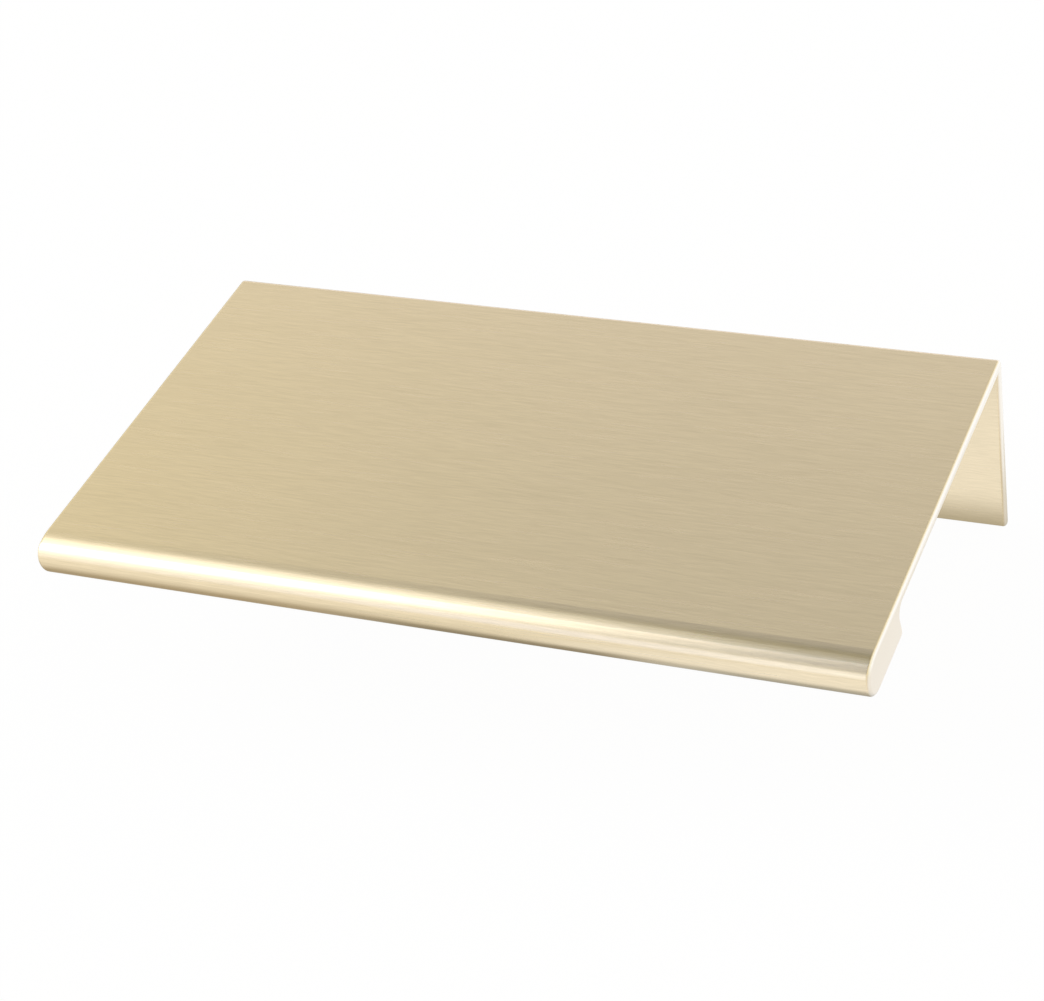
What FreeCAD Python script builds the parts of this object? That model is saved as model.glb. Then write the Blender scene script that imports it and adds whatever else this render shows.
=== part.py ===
import FreeCAD, Part
import math
import os

# Tab pull for a door or a drawer front.
# One extruded length of L section. The leg is screwed to the back of the door, the plate
# passes over the door's edge, and the thick round nose in front is what the fingers hold.
# The origin is the middle of the screw pattern, on the face of the leg that meets the door.
# +X runs along the door's edge, -Y points to the front and +Z points up.

# Driving sizes, in millimetres and degrees

LENGTH = 73.0             # cut length, along the door's edge
DEPTH = 41.05             # back of the leg to the front of the nose
WALL = 0.95               # thickness of the plate and of the leg
LEG_HEIGHT = 17.85        # top of the plate to the foot of the leg

NOSE_DEPTH = 9.15         # front of the nose to the lip behind it
NOSE_HEIGHT = 3.95        # top of the plate to the underside of the nose
SHOULDER_RADIUS = 4.5     # slow round that leads the top of the plate into the crown
SHOULDER_TURN = 20.0      # how far the shoulder has turned down where the crown takes over
CROWN_RADIUS = 1.4        # upper round of the nose; the lower one takes up the rest
LIP_LEAN = 15.0           # how far the back of the nose leans over the fingers
LIP_RADIUS = 0.5          # lower corner of the lip
NECK_RADIUS = 0.8         # hollow between the back of the nose and the plate

HEEL_RADIUS = 0.45        # outer corner, where the plate turns down into the leg
SEAT_RADIUS = 0.3         # inner corner, which meets the door's edge
FOOT_RADIUS = 0.42        # both corners of the leg's foot
CUT_EDGE_RADIUS = 0.35    # polished round of both cut ends, all along their outline

SCREW_DROP = 9.0          # underside of the plate to the screws
SCREW_SPACING = 32.0      # between the two screws
SCREW_HOLE = 3.8          # diameter, for a 3.5 mm wood screw
COUNTERSINK = 5.4         # diameter on the back of the leg
COUNTERSINK_ANGLE = 90.0  # whole angle of the cone

# Levels and lines that follow from the sizes

UNDERSIDE = SCREW_DROP
TOP = UNDERSIDE + WALL
FOOT = TOP - LEG_HEIGHT
NOSE_BOTTOM = TOP - NOSE_HEIGHT
DOOR_FACE = 0.0
BACK = DOOR_FACE + WALL
FRONT = BACK - DEPTH
LIP = FRONT + NOSE_DEPTH
SHOULDER_TO_CROWN = SHOULDER_RADIUS - CROWN_RADIUS
SHOULDER_ACROSS = SHOULDER_TO_CROWN * math.sin(math.radians(SHOULDER_TURN))
SHOULDER_UP = SHOULDER_TO_CROWN * math.cos(math.radians(SHOULDER_TURN))
NOSE_CENTRE = TOP - SHOULDER_RADIUS + SHOULDER_UP
BELLY_RADIUS = NOSE_CENTRE - NOSE_BOTTOM
NECK = LIP - (NOSE_HEIGHT - WALL) * math.tan(math.radians(LIP_LEAN))
END = LENGTH / 2
TOLERANCE = 1e-6

# Two rounds share the wall, and the cut ends' round has to run round every outer corner

LARGEST_WALL_ROUND = 0.45 * WALL
FOOT_ROUND = min(FOOT_RADIUS, LARGEST_WALL_ROUND)
LARGEST_END_ROUND = 0.9 * min(HEEL_RADIUS, FOOT_ROUND, LIP_RADIUS, CROWN_RADIUS)
END_ROUND = min(CUT_EDGE_RADIUS, LARGEST_END_ROUND)


def point(y, z):
    """A point of the section, on the plane of the left-hand cut end."""
    return FreeCAD.Vector(-END, y, z)


def bend(centre_y, centre_z, radius, start_angle, end_angle):
    """A round stretch of the section's outline; the angles are in degrees, with +Z at 90."""
    middle_angle = (start_angle + end_angle) / 2
    angles = [math.radians(angle) for angle in (start_angle, middle_angle, end_angle)]
    ends_and_middle = [
        point(centre_y + radius * math.cos(angle), centre_z + radius * math.sin(angle))
        for angle in angles
    ]
    return Part.Arc(*ends_and_middle).toShape()


def straight(start, end):
    """A straight stretch of the section's outline."""
    return Part.makeLine(point(*start), point(*end))


def section():
    """The L section with its round nose, as a face; its small corners are rounded later."""
    crown_y = FRONT + CROWN_RADIUS
    shoulder_y = crown_y + SHOULDER_ACROSS
    shoulder_z = TOP - SHOULDER_RADIUS
    belly_y = FRONT + BELLY_RADIUS
    crown_angle = 90 + SHOULDER_TURN
    outline = Part.Wire([
        straight((BACK, TOP), (shoulder_y, TOP)),
        bend(shoulder_y, shoulder_z, SHOULDER_RADIUS, 90, crown_angle),
        bend(crown_y, NOSE_CENTRE, CROWN_RADIUS, crown_angle, 180),
        bend(belly_y, NOSE_CENTRE, BELLY_RADIUS, 180, 270),
        straight((belly_y, NOSE_BOTTOM), (LIP, NOSE_BOTTOM)),
        straight((LIP, NOSE_BOTTOM), (NECK, UNDERSIDE)),
        straight((NECK, UNDERSIDE), (DOOR_FACE, UNDERSIDE)),
        straight((DOOR_FACE, UNDERSIDE), (DOOR_FACE, FOOT)),
        straight((DOOR_FACE, FOOT), (BACK, FOOT)),
        straight((BACK, FOOT), (BACK, TOP)),
    ])
    return Part.Face(outline)


def edge_along_length(body, y, z):
    """The straight edge of the body that runs along X through one corner of the section."""
    for edge in body.Edges:
        on_corner = all(
            abs(vertex.Y - y) < TOLERANCE and abs(vertex.Z - z) < TOLERANCE
            for vertex in edge.Vertexes
        )
        if on_corner:
            return edge
    raise ValueError(f"no edge along the length at y={y}, z={z}")


def with_round_corners(body):
    """Rounds the corners of the section along the whole length."""
    corners = [
        (LIP, NOSE_BOTTOM, LIP_RADIUS),
        (NECK, UNDERSIDE, NECK_RADIUS),
        (BACK, TOP, HEEL_RADIUS),
        (DOOR_FACE, UNDERSIDE, SEAT_RADIUS),
        (DOOR_FACE, FOOT, FOOT_ROUND),
        (BACK, FOOT, FOOT_ROUND),
    ]
    for y, z, radius in corners:
        body = body.makeFillet(radius, [edge_along_length(body, y, z)])
    return body


def with_round_ends(body):
    """Rounds the sharp outline of both cut ends."""
    outline_edges = [
        edge for edge in body.Edges
        if all(abs(abs(vertex.X) - END) < TOLERANCE for vertex in edge.Vertexes)
        and edge.BoundBox.XLength < TOLERANCE
    ]
    return body.makeFillet(END_ROUND, outline_edges)


def screw_hole(x):
    """One hole through the leg, countersunk from the back, as a solid to be cut away."""
    towards_door = FreeCAD.Vector(0, -1, 0)
    mouth = FreeCAD.Vector(x, BACK, 0)
    bore = Part.makeCylinder(SCREW_HOLE / 2, WALL, mouth, towards_door)
    sink_depth = (COUNTERSINK - SCREW_HOLE) / 2 / math.tan(math.radians(COUNTERSINK_ANGLE / 2))
    sink = Part.makeCone(COUNTERSINK / 2, SCREW_HOLE / 2, sink_depth, mouth, towards_door)
    return bore.fuse(sink)


def pull():
    """The whole pull: the extruded section, dressed, with its two screw holes."""
    body = section().extrude(FreeCAD.Vector(LENGTH, 0, 0))
    body = with_round_corners(body)
    body = with_round_ends(body)
    holes = [screw_hole(side * SCREW_SPACING / 2) for side in (-1, 1)]
    return body.cut(holes).Solids[0]


os.makedirs("parts", exist_ok=True)
shape = pull()
shape.exportStep("parts/tab_pull.step")
box = shape.BoundBox
print(f"tab_pull: {shape.Volume:.1f} mm3, {len(shape.Faces)} faces, valid {shape.isValid()}")
print(f"x {box.XMin:.2f}..{box.XMax:.2f}  y {box.YMin:.2f}..{box.YMax:.2f}  z {box.ZMin:.2f}..{box.ZMax:.2f}")
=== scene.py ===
import logging
import math
from dataclasses import dataclass
from enum import Enum
from typing import Any, Iterable, Union

import bmesh
import bpy
from mathutils import Matrix, Vector


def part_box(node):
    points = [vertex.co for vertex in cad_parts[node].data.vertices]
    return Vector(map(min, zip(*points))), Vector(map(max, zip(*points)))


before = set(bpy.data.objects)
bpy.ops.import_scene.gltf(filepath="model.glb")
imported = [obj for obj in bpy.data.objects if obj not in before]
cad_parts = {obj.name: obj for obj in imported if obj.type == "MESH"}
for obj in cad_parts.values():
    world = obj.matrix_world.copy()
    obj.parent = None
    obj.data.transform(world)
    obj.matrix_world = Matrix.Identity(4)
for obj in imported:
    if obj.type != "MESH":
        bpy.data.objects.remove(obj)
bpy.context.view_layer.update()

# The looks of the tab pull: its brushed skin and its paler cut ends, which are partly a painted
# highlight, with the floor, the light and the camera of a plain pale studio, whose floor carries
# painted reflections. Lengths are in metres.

LOG = logging.getLogger("tab_pull")
MM = 0.001
NODE = "tab_pull"
SLOT = "brushed_champagne"

Colour = tuple[float, float, float]
Operand = Union["Wire", float, Colour]
WHITE: Colour = (1.0, 1.0, 1.0)


class Axis(Enum):
    """The three directions of the pull."""

    LENGTH = "X"
    DEPTH = "Y"
    HEIGHT = "Z"


class Ray(Enum):
    """The kinds of ray that a shader can tell apart."""

    CAMERA = "Is Camera Ray"
    GLOSSY = "Is Glossy Ray"
    TRANSMISSION = "Is Transmission Ray"


class Wire:
    """An output socket that does arithmetic: an expression on wires adds the nodes for it."""

    def __init__(self, graph: "Graph", socket: bpy.types.NodeSocket) -> None:
        """Keeps the socket and the graph that new nodes go into.

        Args:
            graph: the graph that the socket belongs to.
            socket: the output socket.
        """
        self.graph = graph
        self.socket = socket

    def _with(self, other: Operand, operation: str, swapped: bool = False) -> "Wire":
        """Adds the node that joins this wire and another operand.

        Args:
            other: a wire, a number or a colour.
            operation: the node's operation, such as MULTIPLY.
            swapped: whether the other operand comes first.

        Returns:
            The wire that carries the result.
        """
        pair = (other, self) if swapped else (self, other)
        kinds = {item.socket.type for item in pair if isinstance(item, Wire)}
        if "RGBA" in kinds:
            return self.graph.mix(1.0, *pair, blend=operation)
        kind = "ShaderNodeVectorMath" if "VECTOR" in kinds else "ShaderNodeMath"
        return self.graph.node(kind, {"operation": operation}, {0: pair[0], 1: pair[1]})

    def __add__(self, other: Operand) -> "Wire":
        """This wire plus the other."""
        return self._with(other, "ADD")

    def __radd__(self, other: Operand) -> "Wire":
        """The other plus this wire."""
        return self._with(other, "ADD", swapped=True)

    def __sub__(self, other: Operand) -> "Wire":
        """This wire less the other."""
        return self._with(other, "SUBTRACT")

    def __rsub__(self, other: Operand) -> "Wire":
        """The other less this wire."""
        return self._with(other, "SUBTRACT", swapped=True)

    def __mul__(self, other: Operand) -> "Wire":
        """This wire times the other."""
        return self._with(other, "MULTIPLY")

    def __rmul__(self, other: Operand) -> "Wire":
        """The other times this wire."""
        return self._with(other, "MULTIPLY", swapped=True)


class Graph:
    """A node tree, cleared and then built by one method that makes any node."""

    def __init__(self, tree: bpy.types.NodeTree) -> None:
        """Clears the tree.

        Args:
            tree: the node tree of a material or of the world.
        """
        self.tree = tree
        self.tree.nodes.clear()

    def node(
        self,
        kind: str,
        settings: dict[str, Any] | None = None,
        inputs: dict[Union[str, int], Any] | None = None,
        output: Union[str, int] = 0,
    ) -> Wire | None:
        """Makes one node.

        Args:
            kind: the node's type.
            settings: its own settings, set first.
            inputs: values or wires by the name or the number of the socket.
            output: the name or the number of the output that is wanted.

        Returns:
            The wanted output as a wire, or nothing for a node without outputs.
        """
        made = self.tree.nodes.new(kind)
        for name, value in (settings or {}).items():
            setattr(made, name, value)
        for name, value in (inputs or {}).items():
            self._feed(self._socket(made.inputs, name), value)
        if not len(made.outputs):
            return None
        return Wire(self, self._socket(made.outputs, output))

    def part(self, vector: Wire, axis: Axis) -> Wire:
        """Takes one part of a vector.

        Args:
            vector: the vector.
            axis: the part that is wanted.

        Returns:
            The part, as a number.
        """
        return self.node("ShaderNodeSeparateXYZ", {}, {"Vector": vector}, axis.value)

    def ray(self, kind: Ray) -> Wire:
        """Tells one kind of ray from the others.

        Args:
            kind: the kind of ray.

        Returns:
            1 for a ray of that kind, 0 for any other.
        """
        return self.node("ShaderNodeLightPath", output=kind.value)

    def direct(self) -> Wire:
        """Tells the rays that see a thing directly, or through glass, from those that light it."""
        return self.ray(Ray.CAMERA) + self.ray(Ray.TRANSMISSION)

    def rise(self, value: Wire, start: float, end: float) -> Wire:
        """Makes a soft step.

        Args:
            value: the number that the step is taken on.
            start: where it leaves 0.
            end: where it reaches 1; below the start it is a step down.

        Returns:
            The step, from 0 to 1.
        """
        down = end < start
        inputs = {
            "Value": value,
            "From Min": min(start, end),
            "From Max": max(start, end),
            "To Min": 1.0 if down else 0.0,
            "To Max": 0.0 if down else 1.0,
        }
        return self.node("ShaderNodeMapRange", {"interpolation_type": "SMOOTHSTEP"}, inputs)

    def mix(self, share: Operand, first: Operand, second: Operand, blend: str = "MIX") -> Wire:
        """Mixes two colours.

        Args:
            share: how much of the second.
            first: the first colour.
            second: the second colour.
            blend: how they are mixed, such as MULTIPLY.

        Returns:
            The mixed colour.
        """
        settings = {"data_type": "RGBA", "blend_type": blend}
        inputs = {"Factor": share, "A": first, "B": second}
        return self.node("ShaderNodeMix", settings, inputs, "Result")

    def surface(self, kind: str, inputs: dict[Union[str, int], Any]) -> None:
        """Makes the last shader and the material's output.

        Args:
            kind: the shader's type.
            inputs: its inputs.
        """
        self.node("ShaderNodeOutputMaterial", {}, {"Surface": self.node(kind, {}, inputs)})

    @staticmethod
    def _socket(sockets: Iterable[Any], name: Union[str, int]) -> bpy.types.NodeSocket:
        """Finds a socket that is in use.

        Args:
            sockets: the inputs or the outputs of a node.
            name: the socket's name, or its number among them.

        Returns:
            The socket.
        """
        if isinstance(name, int):
            return sockets[name]
        return next(socket for socket in sockets if socket.name == name and socket.enabled)

    def _feed(self, socket: bpy.types.NodeSocket, value: Any) -> None:
        """Links a wire to an input, or sets the input's own value.

        Args:
            socket: the input socket.
            value: a wire, a number, a vector or a colour.
        """
        if isinstance(value, Wire):
            self.tree.links.new(value.socket, socket)
        elif socket.type == "RGBA":
            socket.default_value = (*value, 1.0)
        else:
            socket.default_value = value


@dataclass(frozen=True)
class Grain:
    """Streaks of noise that run along the pull, or specks when both sizes are alike."""

    length: float
    width: float
    detail: float = 2.0
    roughness: float = 0.6

    def wire(self, graph: Graph, place: Wire) -> Wire:
        """Makes the streaks.

        Args:
            graph: the graph of the material.
            place: the point's place.

        Returns:
            The streaks, about -1 to 1 round 0.
        """
        scale = (1 / self.length, 1 / self.width, 1 / self.width)
        inputs = {
            "Vector": place * scale,
            "Scale": 1.0,
            "Detail": self.detail,
            "Roughness": self.roughness,
        }
        noise = graph.node("ShaderNodeTexNoise", {"noise_dimensions": "3D"}, inputs)
        return (noise - 0.5) * 2.0


@dataclass(frozen=True)
class BrushedChampagne:
    """The skin of the pull: pale gold metal, brushed along its length, paler at the cut ends,
    partly their own cut finish and partly a painted highlight.

    The paler colour, finish and painted highlight together, starts `end_rim` before each cut and
    is full `end_blur` further out.
    """

    half_length: float
    colour: Colour = (0.87, 0.75, 0.54)
    # Partly the cut ends' own finish, partly a painted highlight
    end_finish_and_highlight: Colour = (0.98, 0.94, 0.87)
    end_rim: float = 0.26 * MM
    end_blur: float = 0.18 * MM
    roughness: float = 0.26
    end_roughness: float = 0.36
    fine: Grain = Grain(length=2.2 * MM, width=0.10 * MM)
    broad: Grain = Grain(length=9.0 * MM, width=0.30 * MM)
    cloud: Grain = Grain(length=16.0 * MM, width=6.0 * MM, detail=1.0)
    speck: Grain = Grain(length=0.12 * MM, width=0.12 * MM)
    fine_contrast: float = 0.115
    broad_contrast: float = 0.03
    cloud_contrast: float = 0.02
    roughness_contrast: float = 0.04
    groove_depth: float = 0.0009 * MM
    speck_depth: float = 0.0010 * MM

    def material(self) -> bpy.types.Material:
        """Builds the material.

        Returns:
            The finished material.
        """
        made = bpy.data.materials.new(SLOT)
        made.use_nodes = True
        graph = Graph(made.node_tree)
        place = graph.node("ShaderNodeTexCoord", output="Object")
        cut = self._cut_end(graph, place)
        fine = self.fine.wire(graph, place)
        broad = self.broad.wire(graph, place)
        cloud = self.cloud.wire(graph, place)
        speck = self.speck.wire(graph, place)
        brushed = fine * self.fine_contrast + broad * self.broad_contrast
        shade = brushed * (1.0 - cut) + cloud * self.cloud_contrast + 1.0
        # Pale cut ends: partly their own finish, partly a painted highlight on the ends and their
        # rims
        metal = graph.mix(cut, self.colour, self.end_finish_and_highlight)
        rougher = broad * self.roughness_contrast + cut * (self.end_roughness - self.roughness)
        relief = fine * (1.0 - cut) * self.groove_depth + speck * cut * self.speck_depth
        bump = graph.node(
            "ShaderNodeBump", {}, {"Strength": 1.0, "Distance": 1.0, "Height": relief}
        )
        graph.surface(
            "ShaderNodeBsdfPrincipled",
            {
                "Base Color": metal * shade,
                "Metallic": 1.0,
                "Roughness": rougher + self.roughness,
                "Normal": bump,
            },
        )
        return made

    def _cut_end(self, graph: Graph, place: Wire) -> Wire:
        """Makes the mask of the two cut ends.

        Args:
            graph: the graph of the material.
            place: the point's place.

        Returns:
            1 on the cut ends, 0 elsewhere.
        """
        along = graph.part(place, Axis.LENGTH)
        reach = graph.node("ShaderNodeMath", {"operation": "ABSOLUTE"}, {0: along})
        start = self.half_length - self.end_rim
        return graph.rise(reach, start, start + self.end_blur)


@dataclass(frozen=True)
class Span:
    """A stretch of one number with soft ends; an end that is left out is open."""

    start: float | None = None
    end: float | None = None
    blur: float = 0.1

    @classmethod
    def mm(cls, start: float | None = None, end: float | None = None, blur: float = 1.0) -> "Span":
        """Makes a stretch of a length, given in millimetres.

        Args:
            start: where it starts.
            end: where it ends.
            blur: how far each end fades.

        Returns:
            The stretch, in metres.
        """
        low = None if start is None else start * MM
        high = None if end is None else end * MM
        return cls(low, high, blur * MM)

    def mask(self, graph: Graph, value: Wire) -> Operand:
        """Makes the stretch's mask.

        Args:
            graph: the graph that the mask goes into.
            value: the number.

        Returns:
            1 inside the stretch, 0 outside.
        """
        inside: Operand = 1.0
        if self.start is not None:
            inside = graph.rise(value, self.start - self.blur, self.start + self.blur)
        if self.end is not None:
            inside = graph.rise(value, self.end + self.blur, self.end - self.blur) * inside
        return inside


@dataclass(frozen=True)
class SoftPatch:
    """A soft-edged patch of colour, placed by two numbers."""

    colour: Colour
    first: Span
    second: Span

    def over(self, graph: Graph, below: Operand, first: Wire, second: Wire) -> Wire:
        """Lays the patch over a colour.

        Args:
            graph: the graph that the patch goes into.
            below: the colour under the patch.
            first: the first number.
            second: the second number.

        Returns:
            The colour with the patch on it.
        """
        mask = self.first.mask(graph, first) * self.second.mask(graph, second)
        return graph.mix(mask, below, self.colour)


@dataclass(frozen=True)
class StudioWhite:
    """The floor: matt white to the room, plain white to the camera.

    Metal sees it with painted soft patches on it, painted reflection and painted shade that only
    glossy rays see, placed by X and by Y, in metres.
    """

    patches: tuple[SoftPatch, ...]
    colour: Colour = (0.9, 0.9, 0.9)
    white_to_camera: float = 0.97

    def material(self) -> bpy.types.Material:
        """Builds the material.

        Returns:
            The finished material.
        """
        made = bpy.data.materials.new("studio_white")
        made.use_nodes = True
        graph = Graph(made.node_tree)
        place = graph.node("ShaderNodeTexCoord", output="Object")
        along = graph.part(place, Axis.LENGTH)
        back = graph.part(place, Axis.DEPTH)
        # Painted reflection: the floor's tones that only glossy rays see, with painted shade under
        # the pull
        painted_reflection: Operand = WHITE
        for patch in self.patches:
            painted_reflection = patch.over(graph, painted_reflection, along, back)
        direct = graph.direct()
        shown = graph.mix(direct, painted_reflection, WHITE)
        matt = graph.node("ShaderNodeBsdfDiffuse", {}, {"Color": self.colour})
        white = graph.node("ShaderNodeEmission", {}, {"Color": shown, "Strength": 1.0})
        whiteness = direct * self.white_to_camera + graph.ray(Ray.GLOSSY)
        graph.surface("ShaderNodeMixShader", {0: whiteness, 1: matt, 2: white})
        return made


@dataclass
class Studio:
    """The floor and the room's light.

    The room's patches are placed by the direction's reach along the pull, -1 to 1, and by its
    turn round the pull in degrees: 0 is the horizon in front, 90 overhead, 180 the one behind.
    """

    floor_radius: float = 3.0
    floor_gap: float = 0.02 * MM
    floor_sides: int = 96
    # Painted reflections and painted shade on the floor, seen only by the metal
    floor_painted_reflections: tuple[SoftPatch, ...] = (
        # Painted reflection in front of the left half: floor tones that only the metal sees, in
        # the low side of the nose
        SoftPatch((0.89, 0.87, 0.81), Span.mm(end=4, blur=6), Span.mm(end=-28, blur=5)),
        SoftPatch((0.98, 0.95, 0.88), Span.mm(end=-20, blur=5), Span.mm(end=-28, blur=5)),
        # Painted reflection beside the right cut end: a dimmer floor tone that only the metal sees
        SoftPatch((0.90, 0.86, 0.795), Span.mm(start=41, blur=2), Span.mm(end=-5, blur=9)),
        # Painted shade far left, seen only in the metal: the rim of the left cut end
        SoftPatch((0.62, 0.59, 0.50), Span.mm(-160, -45, 8), Span.mm(start=-22, blur=6)),
        # Painted shade under the nose, in three lengths, seen only in the metal
        SoftPatch((0.43, 0.37, 0.27), Span.mm(-60, -8, 16), Span.mm(-47, -27, 9)),
        SoftPatch((0.31, 0.28, 0.22), Span.mm(-14, 15, 8), Span.mm(-44, -27, 5)),
        SoftPatch((0.43, 0.43, 0.41), Span.mm(15, 41, 8), Span.mm(-42.5, -27, 4)),
        # Painted shade at the foot of the leg, then at its right end, seen only in the metal
        SoftPatch((0.52, 0.50, 0.44), Span.mm(-45, 40, 3), Span.mm(-2.5, 6, 2.5)),
        SoftPatch((0.72, 0.67, 0.57), Span.mm(37, 43.5, 1.5), Span.mm(-12, 14, 2)),
    )
    room: Colour = (0.90, 0.84, 0.62)
    room_patches: tuple[SoftPatch, ...] = (
        # Dim above and bright behind: the slow change of tone over the plate
        SoftPatch((0.33, 0.35, 0.42), Span(-0.47, 0.10, 0.19), Span(30.0, 141.0, 25.0)),
        SoftPatch((1.21, 1.19, 1.38), Span(start=-0.625, blur=0.10), Span(start=151.0, blur=8.0)),
        # In front, from left to right: the face of the nose
        SoftPatch((1.22, 1.22, 1.22), Span(end=-0.39, blur=0.015), Span(end=34.5, blur=5.0)),
        SoftPatch((0.72, 0.77, 1.15), Span(-0.39, -0.30, 0.015), Span(end=34.5, blur=5.0)),
        SoftPatch((1.33, 1.38, 1.44), Span(start=-0.30, blur=0.015), Span(end=34.5, blur=5.0)),
        SoftPatch((0.90, 0.88, 0.82), Span(start=-0.08, blur=0.06), Span(end=34.5, blur=5.0)),
        # Overhead: the dark band on the nose's shoulder and its cool border
        SoftPatch((0.19, 0.17, 0.05), Span(-0.36, 0.05, 0.05), Span(100.0, 121.0, 7.0)),
        SoftPatch((0.80, 1.16, 2.07), Span(-0.45, 0.05, 0.10), Span(95.0, 99.5, 2.0)),
        # Upper left: the two soft boxes that light the crown of the nose
        SoftPatch((3.14, 3.14, 3.14), Span(-0.95, -0.31, 0.01), Span(89.0, 102.5, 19.0)),
        SoftPatch((3.14, 3.14, 3.14), Span(-0.95, -0.38, 0.01), Span(43.0, 90.0, 25.5)),
        # Right, then low behind: the rims of the cut ends
        SoftPatch((1.05, 1.05, 0.97), Span(0.3, 0.97, 0.1), Span(55.0, 165.0, 15.0)),
        SoftPatch((0.42, 0.39, 0.30), Span(-0.97, -0.15, 0.05), Span(start=168.0, blur=6.0)),
    )

    def build(self, floor_level: float) -> None:
        """Builds the studio round the object.

        Args:
            floor_level: the lowest point of the object.
        """
        self._floor(floor_level - self.floor_gap)
        self._room()

    def _floor(self, level: float) -> None:
        """Lays a round floor.

        Args:
            level: the height of the floor.
        """
        mesh = bpy.data.meshes.new("floor")
        shape = bmesh.new()
        bmesh.ops.create_circle(
            shape,
            cap_ends=True,
            segments=self.floor_sides,
            radius=self.floor_radius,
            matrix=Matrix.Translation((0.0, 0.0, level)),
        )
        shape.to_mesh(mesh)
        shape.free()
        floor = bpy.data.objects.new("floor", mesh)
        bpy.context.scene.collection.objects.link(floor)
        mesh.materials.append(StudioWhite(patches=self.floor_painted_reflections).material())

    def _room(self) -> None:
        """Gives the room its light, patch by patch."""
        world = bpy.data.worlds.new("room")
        bpy.context.scene.world = world
        world.use_nodes = True
        graph = Graph(world.node_tree)
        towards = graph.node("ShaderNodeTexCoord", output="Generated")
        reach = graph.part(towards, Axis.LENGTH)
        back = graph.part(towards, Axis.DEPTH)
        height = graph.part(towards, Axis.HEIGHT)
        front = back * -1.0
        radians = graph.node("ShaderNodeMath", {"operation": "ARCTAN2"}, {0: height, 1: front})
        turn = radians * math.degrees(1.0)
        light: Operand = self.room
        for patch in self.room_patches:
            light = patch.over(graph, light, reach, turn)
        shown = graph.mix(graph.direct(), light, WHITE)
        room = graph.node("ShaderNodeBackground", {}, {"Color": shown, "Strength": 1.0})
        graph.node("ShaderNodeOutputWorld", {}, {"Surface": room})


@dataclass
class Camera:
    """The camera, placed by the angles at which the photograph was taken.

    Angles are in degrees. The lens and the sensor are in millimetres, as Blender takes them.
    """

    azimuth: float = 27.513
    elevation: float = 37.102
    roll: float = 9.899
    distance: float = 234.790 * MM
    aim: tuple[float, float, float] = (2.709 * MM, -25.815 * MM, 9.95 * MM)
    lens: float = 97.690
    sensor_width: float = 36.0
    nearest: float = 10.0 * MM
    farthest: float = 20.0

    def build(self) -> None:
        """Makes the camera and gives it to the scene."""
        around = math.radians(self.azimuth)
        above = math.radians(self.elevation)
        tilt = math.radians(self.roll)
        back = Vector((
            math.sin(around) * math.cos(above),
            -math.cos(around) * math.cos(above),
            math.sin(above),
        ))
        level_right = Vector((math.cos(around), math.sin(around), 0.0))
        level_up = back.cross(level_right)
        right = level_right * math.cos(tilt) - level_up * math.sin(tilt)
        up = level_up * math.cos(tilt) + level_right * math.sin(tilt)
        turn = Matrix((right, up, back)).transposed()
        data = bpy.data.cameras.new("camera")
        data.lens = self.lens
        data.sensor_width = self.sensor_width
        data.clip_start = self.nearest
        data.clip_end = self.farthest
        camera = bpy.data.objects.new("camera", data)
        place = Vector(self.aim) + back * self.distance
        camera.matrix_world = Matrix.Translation(place) @ turn.to_4x4()
        bpy.context.scene.collection.objects.link(camera)
        bpy.context.scene.camera = camera


def main() -> None:
    """Builds the object's looks and the studio, in order."""
    logging.basicConfig(level=logging.INFO, format="%(message)s")
    scene = bpy.context.scene
    scene.view_settings.view_transform = "Standard"
    low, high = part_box(NODE)
    Camera().build()
    Studio().build(low.z)
    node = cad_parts[NODE]
    node.data.materials.clear()
    node.data.materials.append(BrushedChampagne(half_length=high.x).material())
    LOG.info("%s: %d faces", node.name, len(node.data.polygons))


if __name__ == "__main__":
    main()
